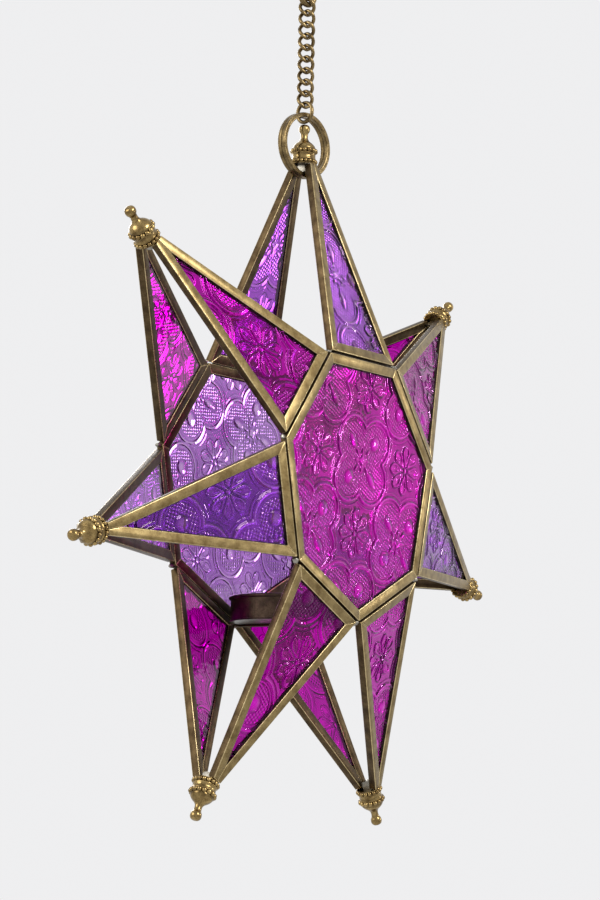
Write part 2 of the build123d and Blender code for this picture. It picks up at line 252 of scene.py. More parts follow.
def noise(tree, place, scale, detail, rough=0.55):
    """A noise pattern in the object's own metres."""
    pattern = tree.nodes.new("ShaderNodeTexNoise")
    set_in(pattern, Scale=scale, Detail=detail, Roughness=rough)
    link(tree, place, pattern.inputs["Vector"])
    return pattern.outputs["Fac"]


def ramp(tree, source, *stops):
    """A colour ramp from (position, colour) stops."""
    node = tree.nodes.new("ShaderNodeValToRGB")
    stops = list(stops)
    while len(node.color_ramp.elements) < len(stops):
        node.color_ramp.elements.new(0.5)
    for element, (position, colour) in zip(node.color_ramp.elements, stops):
        element.position = position
        element.color = (*colour, 1)
    link(tree, source, node.inputs[0])
    return node.outputs["Color"]


def spread(tree, source, low, high):
    """Maps a 0 to 1 pattern to a range, such as a roughness."""
    node = tree.nodes.new("ShaderNodeMapRange")
    for socket, value in (("From Min", 0.3), ("From Max", 0.7), ("To Min", low), ("To Max", high)):
        node.inputs[socket].default_value = value
    link(tree, source, node.inputs["Value"])
    return node.outputs["Result"]


def mixed(tree, factor, a, b, blend="MIX"):
    """Two colours mixed; the factor and the second colour may be a socket or a plain value."""
    node = tree.nodes.new("ShaderNodeMix")
    node.data_type = "RGBA"
    node.blend_type = blend
    link(tree, a, node.inputs["A"])
    for socket, value in (("Factor", factor), ("B", b)):
        if isinstance(value, (float, tuple)):
            node.inputs[socket].default_value = value
        else:
            link(tree, value, node.inputs[socket])
    return node.outputs["Result"]


def finished(tree, shader):
    """Leads a shader to the material's output."""
    out = tree.nodes.new("ShaderNodeOutputMaterial")
    link(tree, shader.outputs[0], out.inputs[0])


print("colours can wander, mix and follow a pattern")

# %% The brass recipe
TONE_SCALE, SPECK_SCALE = 260, 1900
SPECK_COLOUR, BARE = (0.25, 0.2, 0.15), (1, 1, 1)
GRAIN_STRENGTH, GRAIN_DEPTH = 0.35, 0.02 * MM


def brass(name, dark, light, rough_low, rough_high, speck=0.25, root_shade_colour=None):
    """Brass that wanders between two tones, with specks, a fine grain and painted shade in the hollows if
    asked.
    """
    material = bpy.data.materials.new(name)
    tree = node_tree(material)
    place = tree.nodes.new("ShaderNodeTexCoord").outputs["Object"]
    tone = noise(tree, place, TONE_SCALE, 4)
    specks = noise(tree, place, SPECK_SCALE, 2, 0.7)
    speck_tone = ramp(tree, specks, (0.38, SPECK_COLOUR), (0.55, BARE))
    colour = ramp(tree, tone, (0.32, dark), (0.68, light))
    colour = mixed(tree, speck, colour, speck_tone, "MULTIPLY")
    if root_shade_colour:
        # Painted shade: a near black is mixed in where the mesh says a point lies in a bead's root.
        colour = mixed(tree, kept_value(tree, "painted_root_shade"), colour, (*root_shade_colour, 1))
    metal = tree.nodes.new("ShaderNodeBsdfPrincipled")
    set_in(metal, Metallic=1.0)
    link(tree, colour, metal.inputs["Base Color"])
    link(tree, spread(tree, specks, rough_low, rough_high), metal.inputs["Roughness"])
    bump = tree.nodes.new("ShaderNodeBump")
    set_in(bump, Strength=GRAIN_STRENGTH, Distance=GRAIN_DEPTH)
    link(tree, specks, bump.inputs["Height"])
    link(tree, bump.outputs[0], metal.inputs["Normal"])
    finished(tree, metal)
    return material


print("brass takes a dark tone, a light tone, two roughnesses and a share of specks")

# %% Eight metal finishes
# The near black of the painted shade in the finials' bead roots.
PAINTED_ROOT_SHADE = (0.018, 0.012, 0.007)
rubbed_brass = brass("rubbed_brass", (0.165, 0.112, 0.045), (0.33, 0.245, 0.108), 0.30, 0.46)
# The bright edge tone is a painted glint on the channels' rounded edges, partly rubbed wear.
edge_wear_and_glint_brass = brass("edge_wear_and_glint_brass", (0.42, 0.32, 0.15), (0.66, 0.53, 0.29), 0.22, 0.34, 0.2)
# On the channel sides this brown is partly patina and partly painted shade.
brown_brass_and_side_shade = brass("brown_brass_and_side_shade", (0.050, 0.032, 0.016), (0.125, 0.084, 0.040), 0.36, 0.55, 0.4)
bright_brass = brass("bright_brass", (0.17, 0.11, 0.042), (0.46, 0.33, 0.135), 0.16, 0.30, 0.45, PAINTED_ROOT_SHADE)
chain_brass = brass("chain_brass", (0.120, 0.082, 0.036), (0.31, 0.225, 0.105), 0.22, 0.40, 0.4)
cup_brass = brass("cup_brass", (0.030, 0.020, 0.016), (0.085, 0.056, 0.038), 0.26, 0.42, 0.4)
# Black patina on the seams; round the glass it also stands for the shade under the channel lip.
black_patina_and_shade = brass("black_patina_and_shade", (0.012, 0.009, 0.007), (0.035, 0.026, 0.018), 0.45, 0.7, 0.3)
solder = brass("solder", (0.17, 0.155, 0.125), (0.40, 0.38, 0.325), 0.24, 0.42, 0.35)
print("eight metal finishes")

# %% [markdown]
# ## A pattern pressed into glass
#
# Pressed glass gets its pattern from an engraved roller. This one is a common lattice: where its
# lines cross sits a daisy of eight pointed petals, and between four daisies sits a quatrefoil
# with a heavy rim between two fine ones, a smooth dome in two of its lobes, a long leaf in the
# other two and a cluster of small ovals at its heart. It could be a bump map, but real relief
# bends the light that comes through, as the real pane does, so the pattern is a height function,
# and the pane's front is a fine grid moved by it. One cell of the lattice is 1 by 1; the heights
# run from 0 to 1. Only the millimetre beads between these forms are too small for the grid, so
# this function says where they lie, and the glass recipe further down draws them.

# %% Ridges, bumps and the daisy
CELL = 39.5  # millimetres along a cell, which turns its shares into real sizes
PETAL_START, PETAL_TIP, PETAL_HALF = 1.7, 9.3, 1.75
PETAL_LINE, VEIN_LINE, MIDDLE_BEAD = 0.42, 0.24, 1.2
LINE_HEIGHT, BELLY_HEIGHT, VEIN_HEIGHT = 0.95, 0.55, 0.7


def ridge(distance, width):
    """A soft raised line where the distance is zero."""
    return np.exp(-((distance / width) ** 2))


def dome(x, y, long, wide):
    """A smooth bump, round or drawn out."""
    return np.clip(1 - (x / long) ** 2 - (y / wide) ** 2, 0, None) ** 0.8


def turned(x, y, angle):
    """The same place in axes turned by an angle."""
    return x * cos(angle) + y * sin(angle), y * cos(angle) - x * sin(angle)


def daisy(x, y):
    """Eight pointed petals, each an outline round a low belly with a vein, and a middle bead."""
    height = np.zeros_like(x)
    for petal in range(8):
        along, across = turned(x, y, pi / 4 * petal)
        share = np.clip((along - PETAL_START) / (PETAL_TIP - PETAL_START), 0, 1)
        half = PETAL_HALF * np.sin(pi * share**1.7) ** 0.8 + 0.05
        inside = (along > PETAL_START) & (along < PETAL_TIP)
        line = np.where(inside, ridge(np.abs(across) - half, PETAL_LINE), 0) * LINE_HEIGHT
        bulge = BELLY_HEIGHT * (1 - (across / half) ** 2)
        belly = np.where(inside & (np.abs(across) < half), bulge, 0)
        vein = np.where(inside & (share < 0.55), VEIN_HEIGHT * ridge(across, VEIN_LINE), 0)
        height = np.maximum.reduce([height, line, belly * share, vein])
    return np.maximum(height, dome(x, y, MIDDLE_BEAD, MIDDLE_BEAD))


print("a daisy is", 2 * PETAL_TIP, "mm across")

# %% The quatrefoil and the whole lattice
LOBE_REACH = 10.0
LOBE_RIM = 9.0
RIM_LINE, OUT_LINE, IN_LINE = 0.70, 0.36, 0.34
FINE_RIM_OUT, FINE_RIM_IN = 1.9, 1.45
OUT_HEIGHT, IN_HEIGHT = 0.45, 0.5
DOME_RADIUS, LEAF_LONG, LEAF_WIDE = 2.9, 3.8, 1.8
OVALS = ((0, 4.4, 1.9, 0.85), (pi / 4, 3.3, 1.5, 0.7))  # turn, reach, half length, half width
OVAL_HEIGHT, HEART_RADIUS = 0.85, 1.1
BEAD_MARGIN, SMOOTH_MARGIN, SOFT_EDGE = 0.5, 0.35, 0.3
BEADED_HEIGHT, SWAY_HEIGHT = 0.14, 0.06


def quatrefoil(x, y):
    """Heights of the four-lobed form, and a 0 to 1 map of the beaded ground inside it."""
    lobes = [(LOBE_REACH, 0), (0, LOBE_REACH), (-LOBE_REACH, 0), (0, -LOBE_REACH)]
    edge = np.minimum.reduce([np.hypot(x - cx, y - cy) for cx, cy in lobes]) - LOBE_RIM
    height = np.maximum(ridge(edge, RIM_LINE), OUT_HEIGHT * ridge(edge - FINE_RIM_OUT, OUT_LINE))
    height = np.maximum(height, IN_HEIGHT * ridge(edge + FINE_RIM_IN, IN_LINE))
    bare = np.full_like(x, 9.0)  # distance to the nearest smooth form
    for n in range(4):
        along, across = turned(x, y, pi / 2 * n)
        if n % 2:
            long, wide, middle = LEAF_LONG, LEAF_WIDE, LOBE_REACH - 0.6
        else:
            long, wide, middle = DOME_RADIUS, DOME_RADIUS, LOBE_REACH
        height = np.maximum(height, dome(along - middle, across, long, wide))
        bare = np.minimum(bare, (np.hypot((along - middle) / long, across / wide) - 1) * wide)
        for turn, reach, half_long, half_wide in OVALS:
            slant, off = turned(x, y, pi / 2 * n + turn)
            oval = dome(slant - reach, off, half_long, half_wide)
            height = np.maximum(height, OVAL_HEIGHT * oval)
            near = (np.hypot((slant - reach) / half_long, off / half_wide) - 1) * half_wide
            bare = np.minimum(bare, near)
    height = np.maximum(height, dome(x, y, HEART_RADIUS, HEART_RADIUS))
    beaded = np.clip((-edge - FINE_RIM_IN - BEAD_MARGIN) / SOFT_EDGE, 0, 1)
    beaded = beaded * np.clip((bare - SMOOTH_MARGIN) / SOFT_EDGE, 0, 1)
    return np.maximum(height, BEADED_HEIGHT * beaded), beaded


def pressed_height(s, t):
    """The pattern's height anywhere in the lattice, from 0 to about 1, and its beaded ground."""
    daisy_s, daisy_t = (s - np.round(s)) * CELL, (t - np.round(t)) * CELL
    foil_s, foil_t = (s - np.floor(s) - 0.5) * CELL, (t - np.floor(t) - 0.5) * CELL
    foil, beaded = quatrefoil(foil_s, foil_t)
    sway = np.sin(7.1 * s + 2.3 * t) * np.sin(5.7 * t - 1.9 * s)
    return np.maximum(daisy(daisy_s, daisy_t), foil) + SWAY_HEIGHT * sway, beaded


sample, sample_beads = pressed_height(*np.meshgrid(np.linspace(0, 1, 60), np.linspace(0, 1, 60)))
print("pattern heights run from", round(float(sample.min()), 2), "to", round(float(sample.max()), 2))
print("beads cover", round(100 * float(sample_beads.mean())), "% of the sheet")

# %% [markdown]
# ## Coloured glass
#
# Stained through, the glass is strongly coloured and clear: deep where it is thick and where two
# panes lie behind each other, bright where the relief gathers the light, and darkest where a
# steep side of the relief turns the light away. The mesh keeps a named value for that, high on
# ridges and low on steep sides, and the base colour follows it, so ridges carry painted light and
# steep sides painted shade. The beads are dots on the lattice's own map: a Voronoi pattern with
# little randomness is a nearly regular grid of dots, and they lighten the glass as painted
# highlights and raise a bump where the mesh says beads lie, while the beaded ground round them is
# painted a little darker as painted shade. Rolled glass is never quite flat, so slow waves of a
# few millimetres are added to that bump. The middle front pane is a lighter magenta than the
# points, because the lilac pane behind it deepens it again.

# %% The glass recipe
BEADS_PER_CELL = 32
BEAD_GRID_TURN = radians(20)
BEAD_FALL = 1.9  # how steeply a bead falls from its top, per bead step
CLOUD_SCALE, CLOUD_TINT = 26, 0.42
# Beads are painted lighter and the beaded ground darker: painted highlights and painted shade.
BEAD_PAINTED_LIGHT, BEAD_GROUND_SHADE = 0.80, 0.22
WAVE_SCALE, WAVE_HEIGHT = 230, 1.5
RAISED_STRENGTH, RAISED_DEPTH = 0.9, 0.18 * MM


def bead_dots(tree):
    """The raised beads, 1 at the top of a bead and 0 off it, where the mesh says beads lie."""
    lattice = tree.nodes.new("ShaderNodeUVMap")
    lattice.uv_map = "lattice"
    turn = tree.nodes.new("ShaderNodeMapping")
    set_in(turn, Rotation=(0, 0, BEAD_GRID_TURN), Scale=(BEADS_PER_CELL,) * 3)
    link(tree, lattice.outputs[0], turn.inputs["Vector"])
    dots = tree.nodes.new("ShaderNodeTexVoronoi")
    dots.voronoi_dimensions = "2D"
    set_in(dots, Scale=1.0, Randomness=0.12)
    link(tree, turn.outputs[0], dots.inputs["Vector"])
    fall = math_node(tree, "MULTIPLY", dots.outputs["Distance"], BEAD_FALL)
    bead = math_node(tree, "MAXIMUM", math_node(tree, "SUBTRACT", 1.0, fall), 0.0)
    return math_node(tree, "MULTIPLY", bead, kept_value(tree, "beaded"))


def pressed_glass(name, deep, middle, bright):
    """Clear coloured glass, deep in the hollows and bright on the ridges and beads, as painted shade and
    painted light.
    """
    material = bpy.data.materials.new(name)
    tree = node_tree(material)
    bead = bead_dots(tree)
    place = tree.nodes.new("ShaderNodeTexCoord").outputs["Object"]
    cloud = math_node(tree, "MULTIPLY", noise(tree, place, CLOUD_SCALE, 2), CLOUD_TINT)
    # The base colour's tone: random clouds plus painted light on ridges and beads and painted shade on
    # steep sides and beaded ground.
    tone_and_painted_light = math_node(tree, "ADD", kept_value(tree, "painted_relief_light"), cloud)
    tone_and_painted_light = math_node(tree, "ADD", tone_and_painted_light, math_node(tree, "MULTIPLY", bead, BEAD_PAINTED_LIGHT))
    beaded_ground_shade = math_node(tree, "MULTIPLY", kept_value(tree, "beaded"), BEAD_GROUND_SHADE)
    tone_and_painted_light = math_node(tree, "SUBTRACT", tone_and_painted_light, beaded_ground_shade)
    colour = ramp(tree, tone_and_painted_light, (0.10, deep), (0.46, middle), (0.95, bright))
    glass = tree.nodes.new("ShaderNodeBsdfPrincipled")
    set_in(glass, Roughness=0.04, IOR=1.45, Transmission_Weight=0.95, Specular_Tint=(*bright, 1))
    link(tree, colour, glass.inputs["Base Color"])
    raised = tree.nodes.new("ShaderNodeBump")
    set_in(raised, Strength=RAISED_STRENGTH, Distance=RAISED_DEPTH)
    waves = math_node(tree, "MULTIPLY", noise(tree, place, WAVE_SCALE, 2), WAVE_HEIGHT)
    link(tree, math_node(tree, "ADD", bead, waves), raised.inputs["Height"])
    link(tree, raised.outputs[0], glass.inputs["Normal"])
    finished(tree, glass)
    return material


print("glass takes a deep, a middle and a bright colour")

# %% Four colours of glass
glass_colours = {
    "magenta": pressed_glass("magenta_glass", (0.085, 0.0, 0.080), (0.56, 0.0, 0.44), (1.0, 0.10, 0.86)),
    "rose": pressed_glass("rose_glass", (0.085, 0.0, 0.080), (0.62, 0.0, 0.44), (1.0, 0.14, 0.90)),
    "purple": pressed_glass("purple_glass", (0.060, 0.008, 0.16), (0.48, 0.09, 0.74), (0.94, 0.62, 1.0)),
    "lilac": pressed_glass("lilac_glass", (0.15, 0.04, 0.28), (0.50, 0.25, 0.68), (1.0, 0.88, 1.0)),
}
SLOT_OF = {colour: f"{colour}_glass" for colour in glass_colours}
SLOT_OF["rose"] = "magenta_glass"
print("glass in", ", ".join(glass_colours))

# %% [markdown]
# ## Panes cut from the pressed sheet
#
# Each pane is cut from a larger sheet, so the lattice lies differently in each one. The flat
# outline of a pane comes from the frame's own glass solid. The grid below runs in rows from one
# edge of the outline to the other, so its border follows the cut exactly, and only the face that
# looks out of the star carries the relief.

# %% Read a pane's outline from the frame


def convex_outline(places):
    """The corners of the smallest convex outline round some flat places, in order."""
    places = sorted(set((round(x, 6), round(y, 6)) for x, y in places))

    def half(points):
        chain = []
        for p in points:
            while len(chain) > 1:
                (ax, ay), (bx, by) = chain[-2], chain[-1]
                if (bx - ax) * (p[1] - ay) - (by - ay) * (p[0] - ax) > 1e-10:
                    break
                chain.pop()
            chain.append(p)
        return chain[:-1]

    return half(places) + half(places[::-1])


def pane_plane(node, out, facing):
    """Where a pane lies: its normal, side and up axes, the level of its face, thickness, outline."""
    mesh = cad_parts[node].data
    outer_faces = (p for p in mesh.polygons if p.normal.dot(facing) > 0.5)
    normal = max(outer_faces, key=lambda p: p.area).normal.copy()
    up = (out - normal * out.dot(normal)).normalized()
    side = up.cross(normal)
    heights = [v.co.dot(normal) for v in mesh.vertices]
    top, thickness = max(heights), max(heights) - min(heights)
    outline = convex_outline([(v.co.dot(side), v.co.dot(up)) for v in mesh.vertices])
    return normal, side, up, top, thickness, outline


FRONT, BACK = Vector((0, -1, 0)), Vector((0, 1, 0))
UP = Vector((0, 0, 1))
for node in ("front_glass", "point_1_front_glass"):
    print(node, "outline has", len(pane_plane(node, UP, FRONT)[5]), "corners")

# %% Lay rows of places over an outline
RELIEF = 0.60 * MM
GRID = 0.40 * MM
HAIR = 1e-7  # keeps the first and last rows just inside the outline


def row_limits(outline, y):
    """Where an outline starts and ends along one row."""
    crossings = []
    for (ax, ay), (bx, by) in zip(outline, outline[1:] + outline[:1]):
        if min(ay, by) - 1e-9 <= y <= max(ay, by) + 1e-9 and abs(by - ay) > 1e-9:
            crossings.append(ax + (bx - ax) * (y - ay) / (by - ay))
    return min(crossings), max(crossings)


def pane_rows(outline):
    """Places in rows that run from edge to edge of an outline, about a grid step apart."""
    low_y, high_y = min(y for _, y in outline), max(y for _, y in outline)
    widths = [row_limits(outline, y) for y in np.linspace(low_y + HAIR, high_y - HAIR, 41)]
    columns = int(max(b - a for a, b in widths) / GRID) + 1
    rows = int((high_y - low_y) / GRID) + 1
    ys = np.linspace(low_y + HAIR, high_y - HAIR, rows)
    limits = np.array([row_limits(outline, y) for y in ys])
    xs = limits[:, :1] + (limits[:, 1:] - limits[:, :1]) * np.linspace(0, 1, columns)
    return xs, ys


def sheet_faces(rows, columns):
    """Quads of the pressed face, walls round it and one flat back; their count; the border."""
    ring = [(r, 0) for r in range(rows)] + [(rows - 1, c) for c in range(1, columns)]
    ring += [(r, columns - 1) for r in range(rows - 2, -1, -1)]
    ring += [(0, c) for c in range(columns - 2, 0, -1)]
    border = np.array([r * columns + c for r, c in ring])
    corner = (np.arange(rows - 1)[:, None] * columns + np.arange(columns - 1)).ravel()
    quads = np.stack([corner, corner + 1, corner + columns + 1, corner + columns], axis=1)
    below = rows * columns + np.arange(len(border))
    walls = np.stack([border, np.roll(border, -1), np.roll(below, -1), below], axis=1)
    return np.concatenate([quads, walls]).tolist() + [below.tolist()], len(quads), border


print("a pane is a grid with a step of", GRID / MM, "mm and a relief of", RELIEF / MM, "mm")

# %% Find places in a lattice, and keep values on a mesh


def lattice_place(x, y, lattice):
    """Where places on a pane, in millimetres, lie in its lattice."""
    (ox, oy), (ux, uy), (vx, vy) = lattice
    px, py, area = x - ox, y - oy, ux * vy - uy * vx
    return (px * vy - py * vx) / area, (ux * py - uy * px) / area


def keep_value(mesh, called, values):
    """Keeps a named number at each point of a mesh, for a material to read."""
    mesh.attributes.new(called, "FLOAT", "POINT").data.foreach_set("value", values)


def keep_lattice(mesh, s, t, point_count):
    """Keeps each point's place in the lattice as the mesh's own flat map."""
    on_lattice = np.zeros((point_count, 2), np.float32)
    on_lattice[: s.size] = np.stack([s.ravel(), t.ravel()], axis=1)
    corners = np.empty(len(mesh.loops), np.int32)
    mesh.loops.foreach_get("vertex_index", corners)
    mesh.uv_layers.new(name="lattice").data.foreach_set("uv", on_lattice[corners].ravel())


print("40 mm along a 40 mm lattice lies at", lattice_place(40, 0, ((0, 0), (40, 0), (0, 40))))

# %% Build one pane
# Painted light on the ridges and painted shade on the steep sides, kept on the mesh for the glass colour.
FLAT_TINT, RIDGE_PAINTED_LIGHT, STEEP_SHADE = 0.12, 0.6, 0.62


def build_pane(name, node, out, facing, lattice, colour):
    """A pane of pressed glass in the place of the frame's plain one."""
    normal, side, up, top, thickness, outline = pane_plane(node, out, facing)
    xs, ys = pane_rows(outline)
    rows, columns = xs.shape
    yy = np.repeat(ys[:, None], columns, axis=1)
    is_middle_pane = out.z == 1 and abs(normal.y) > 0.999
    start = star_centre.dot(up) if is_middle_pane else min(y for _, y in outline)
    s, t = lattice_place((xs - star_centre.dot(side)) / MM, (yy - start) / MM, lattice)
    height, beaded = pressed_height(s, t)
    level = top - RELIEF + RELIEF * np.clip(height, 0, 1)
    down_rows = np.gradient(level, ys, axis=0)
    along_row = np.gradient(level, axis=1) / np.maximum(np.gradient(xs, axis=1), GRID / 8)
    steep = np.clip(np.hypot(down_rows, along_row), 0, 1)
    faces, quad_count, border = sheet_faces(rows, columns)
    flat = xs[..., None] * np.array(side) + yy[..., None] * np.array(up)
    face = (flat + level[..., None] * np.array(normal)).reshape(-1, 3)
    under = flat.reshape(-1, 3)[border] + (top - thickness) * np.array(normal)
    points = np.concatenate([face, under])
    mesh = bpy.data.meshes.new(name)
    mesh.from_pydata(points.tolist(), [], faces)
    mesh.validate()
    smooth = np.zeros(len(mesh.polygons), bool)
    smooth[:quad_count] = True
    mesh.polygons.foreach_set("use_smooth", smooth)
    # Painted light and shade from the relief, for the base colour.
    painted_relief_light = (FLAT_TINT + RIDGE_PAINTED_LIGHT * height - STEEP_SHADE * steep).ravel()
    rest = np.ones(len(border))
    keep_value(mesh, "painted_relief_light", np.concatenate([painted_relief_light, rest * painted_relief_light.mean()]).astype(np.float32))
    keep_value(mesh, "beaded", np.concatenate([beaded.ravel(), rest * 0]).astype(np.float32))
    keep_lattice(mesh, s, t, len(points))
    mesh.materials.append(glass_colours[colour])
    pane = put_in_scene(name, mesh)
    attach(pane, "star")
    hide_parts(node)
    return pane


print("a ridge's tint is", FLAT_TINT + RIDGE_PAINTED_LIGHT, "and a steep side's", FLAT_TINT - STEEP_SHADE)

# %% Where each pane was cut from the sheet
PURPLE_POINTS = (1, 3, 6)


def turned_lattice(daisy_x, daisy_y, cell, angle):
    """A square lattice with a daisy at that place, in millimetres, turned by an angle."""
    c, s = cell * cos(radians(angle)), cell * sin(radians(angle))
    return (daisy_x, daisy_y), (c, s), (-s, c)


point_lattices = {
    (1, "front"): turned_lattice(17, 12, 40, 0),
    (1, "back"): turned_lattice(-3, 20, 40, 38),
    (2, "front"): turned_lattice(9.9, 33.6, 40, 20),
    (2, "back"): turned_lattice(-6, 30, 40, -25),
    (3, "front"): turned_lattice(-4, 18, 40, 12),
    (3, "back"): turned_lattice(3, 30, 40, 50),
    (4, "front"): turned_lattice(2, 22, 40, 33),
    (4, "back"): turned_lattice(-5, 14, 40, -12),
    (5, "front"): turned_lattice(-5.3, 26, 43, 5),
    (5, "back"): turned_lattice(11.5, 2.5, 40, 30),
    (6, "front"): turned_lattice(6, 26, 41, -5),
    (6, "back"): turned_lattice(-2, 34, 40, 18),
    (7, "front"): ((-1, 23.5), (41, 1), (-1, 45)),
    (7, "back"): turned_lattice(4, 16, 40, -30),
}
front_lattice = ((-27.9, 9.2), (33.8, 26.8), (24.6, -28.0))
back_lattice = ((15, 9), (10, -37.5), (37, 10))
print(len(point_lattices) + 2, "places on the sheet")

# %% Cut the sixteen panes
panes = [
    build_pane("front_pane", "front_glass", UP, FRONT, front_lattice, "rose"),
    build_pane("back_pane", "back_glass", UP, BACK, back_lattice, "lilac"),
]
for (point, side), lattice in point_lattices.items():
    colour = "purple" if point in PURPLE_POINTS else "magenta"
    facing = FRONT if side == "front" else BACK
    name, node = f"point_{point}_{side}_pane", f"point_{point}_{side}_glass"
    panes.append(build_pane(name, node, outward(point), facing, lattice, colour))
print(len(panes), "panes with", sum(len(p.data.vertices) for p in panes), "grid points")

# %% [markdown]
# ## Folded channel with rounded edges
#
# The frame's channel strips have the right size and mitres, but knife-sharp edges. Folded sheet
# has a small radius that catches a thin line of light, and this glint is what makes the real
# frames read as brass. Each strip is copied, its long edges get a small bevel, and the faces are
# given three finishes by where they look: rubbed on the face, brown on the sides, which is partly
# patina and partly painted shade, and bright on the rounded edge, a painted glint as well as wear.

# %% Round a copy of a frame piece
EDGE_ROUND = 0.28 * MM
WELD = 2e-6  # points closer than this are made one
FLAT_ENOUGH = radians(2)
ROUNDED_SHARP = 50  # degrees, where an edge still looks sharp after rounding
# Faces that look less towards the front or back than this get the brown that is partly painted shade.
LOOKS_OUT = 0.7  # cosine to the star's front or back above which a face is rubbed
# The rounded edges get a bright tone that is a painted glint as well as rubbed wear.
SIDE_BROWN_AND_SHADE, EDGE_WEAR_AND_GLINT = 1, 2  # places in a channel's list of finishes; 0 is its rubbed face
NO_CHANGE = -1


def smooth_mesh(name, form, materials):
    """A mesh with smooth faces and those materials, made from a form that is then let go."""
    mesh = bpy.data.meshes.new(name)
    form.to_mesh(mesh)
    form.free()
    for material in materials:
        mesh.materials.append(material)
    mesh.polygons.foreach_set("use_smooth", np.ones(len(mesh.polygons), bool))
    return mesh


def metal_copy(node, name, materials, bevel=0.0, sharp=35, body="star"):
    """A copy of a frame piece with clean faces, rounded edges if asked, and smooth shading."""
    form = bmesh.new()
    form.from_mesh(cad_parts[node].data)
    bmesh.ops.remove_doubles(form, verts=form.verts, dist=WELD)
    if bevel:
        bmesh.ops.dissolve_limit(form, angle_limit=FLAT_ENOUGH, verts=form.verts, edges=form.edges)
        joined = (e for e in form.edges if len(e.link_faces) == 2)
        edges = [e for e in joined if e.calc_face_angle(0) > radians(sharp)]
        bmesh.ops.bevel(
            form, geom=edges, offset=bevel, segments=2, profile=0.5, affect="EDGES",
            clamp_overlap=True, material=EDGE_WEAR_AND_GLINT if len(materials) > 2 else NO_CHANGE,
        )
    mesh = smooth_mesh(name, form, materials)
    piece = put_in_scene(name, mesh)
    mesh.set_sharp_from_angle(angle=radians(ROUNDED_SHARP if bevel else sharp))
    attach(piece, body)
    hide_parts(node)
    return piece


def finish_channel(node, facing):
    """One pane's channel, rubbed on the face that looks out of the star, brown with painted shade
    elsewhere, and a painted glint on the rounded edges.
    """
    channel = metal_copy(
        node, node.replace("frame", "channel"),
        [rubbed_brass, brown_brass_and_side_shade, edge_wear_and_glint_brass], bevel=EDGE_ROUND,
    )
    # Painted shade: faces that look sideways take the brown finish.
    for face in channel.data.polygons:
        if face.material_index != EDGE_WEAR_AND_GLINT and face.normal.dot(facing) < LOOKS_OUT:
            face.material_index = SIDE_BROWN_AND_SHADE
    return channel


channels = [finish_channel("front_frame", FRONT), finish_channel("back_frame", BACK)]
for point in range(1, POINTS + 1):
    channels.append(finish_channel(f"point_{point}_front_frame", FRONT))
    channels.append(finish_channel(f"point_{point}_back_frame", BACK))
print(len(channels), "channels with rounded edges")

# %% [markdown]
# ## The dark line round the glass
#
# Where the channel's lip meets the glass, a thin black line stands for the patina gathered there
# and for the shade under the lip, so it is partly painted shade. It is a narrow three-sided bead
# that runs round the opening, on both faces of every pane. Its path is the pane's outline moved in
# by the depth of the channel.

# %% Run the line of patina and painted shade round each pane
LIP_DEPTH = 2.85 * MM
LINE_WIDTH = 0.35 * MM
LINE_RISE, LINE_SINK = 0.2 * MM, 0.1 * MM
LINE_OVERLAP = 0.05 * MM
SHRINK = 0.03  # share by which a line narrows where the inset loses a corner


def inset(outline, distance):
    """A convex outline moved inwards: every edge cuts away what lies within the distance."""
    shape = list(outline)
    for (ax, ay), (bx, by) in zip(outline, outline[1:] + outline[:1]):
        length = math.hypot(bx - ax, by - ay)
        nx, ny = -(by - ay) / length, (bx - ax) / length
        depth = [(x - ax) * nx + (y - ay) * ny - distance for x, y in shape]
        kept = []
        for n, (here, d) in enumerate(zip(shape, depth)):
            after, d2 = shape[(n + 1) % len(shape)], depth[(n + 1) % len(shape)]
            if d >= 0:
                kept.append(here)
            if d * d2 < 0:
                k = d / (d - d2)
                kept.append((here[0] + (after[0] - here[0]) * k, here[1] + (after[1] - here[1]) * k))
        shape = kept
    return shape


def patina_and_shade_line(name, node, out, facing):
    """The black line of patina and painted shade round one pane, outside and inside."""
    normal, side, up, top, thickness, outline = pane_plane(node, out, facing)
    places, faces = [], []
    outside = (top + LINE_RISE, top - RELIEF - LINE_SINK)
    inside = (top - thickness - LINE_RISE, top - thickness + LINE_SINK)
    for lip_level, glass_level in (outside, inside):
        outer = inset(outline, LIP_DEPTH - LINE_OVERLAP)
        inner = inset(outline, LIP_DEPTH + LINE_WIDTH)
        if len(outer) != len(inner):
            outer = inset(outline, LIP_DEPTH)
            cx, cy = (sum(values) / len(outer) for values in zip(*outer))
            inner = [(x + (cx - x) * SHRINK, y + (cy - y) * SHRINK) for x, y in outer]
        count, first = len(outer), len(places)
        for ring, height in ((outer, lip_level), (outer, glass_level), (inner, glass_level)):
            places += [side * x + up * y + normal * height for x, y in ring]
        for k in range(3):
            for n in range(count):
                m = (n + 1) % count
                here, there = first + k * count, first + ((k + 1) % 3) * count
                faces.append((here + n, here + m, there + m, there + n))
    mesh = bpy.data.meshes.new(name)
    mesh.from_pydata(places, [], faces)
    mesh.materials.append(black_patina_and_shade)
    line = put_in_scene(name, mesh)
    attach(line, "star")
    return line


lines = [
    patina_and_shade_line("front_patina_and_shade", "front_glass", UP, FRONT),
    patina_and_shade_line("back_patina_and_shade", "back_glass", UP, BACK),
]
for point in range(1, POINTS + 1):
    for side, facing in (("front", FRONT), ("back", BACK)):
        # Each of these lines is partly patina and partly painted shade.
        name, node = f"point_{point}_{side}_patina", f"point_{point}_{side}_glass"
        lines.append(patina_and_shade_line(name, node, outward(point), facing))
print(len(lines), "patina lines")

# %% [markdown]
# ## Beaded finials
#
# A finial is turned and then rolled with two rows of beads. The body is a lathe profile with two
# shallow grooves, and the beads are small balls set side by side in them, each sunk by about a
# third. The seat and the length are those of the frame's finial.

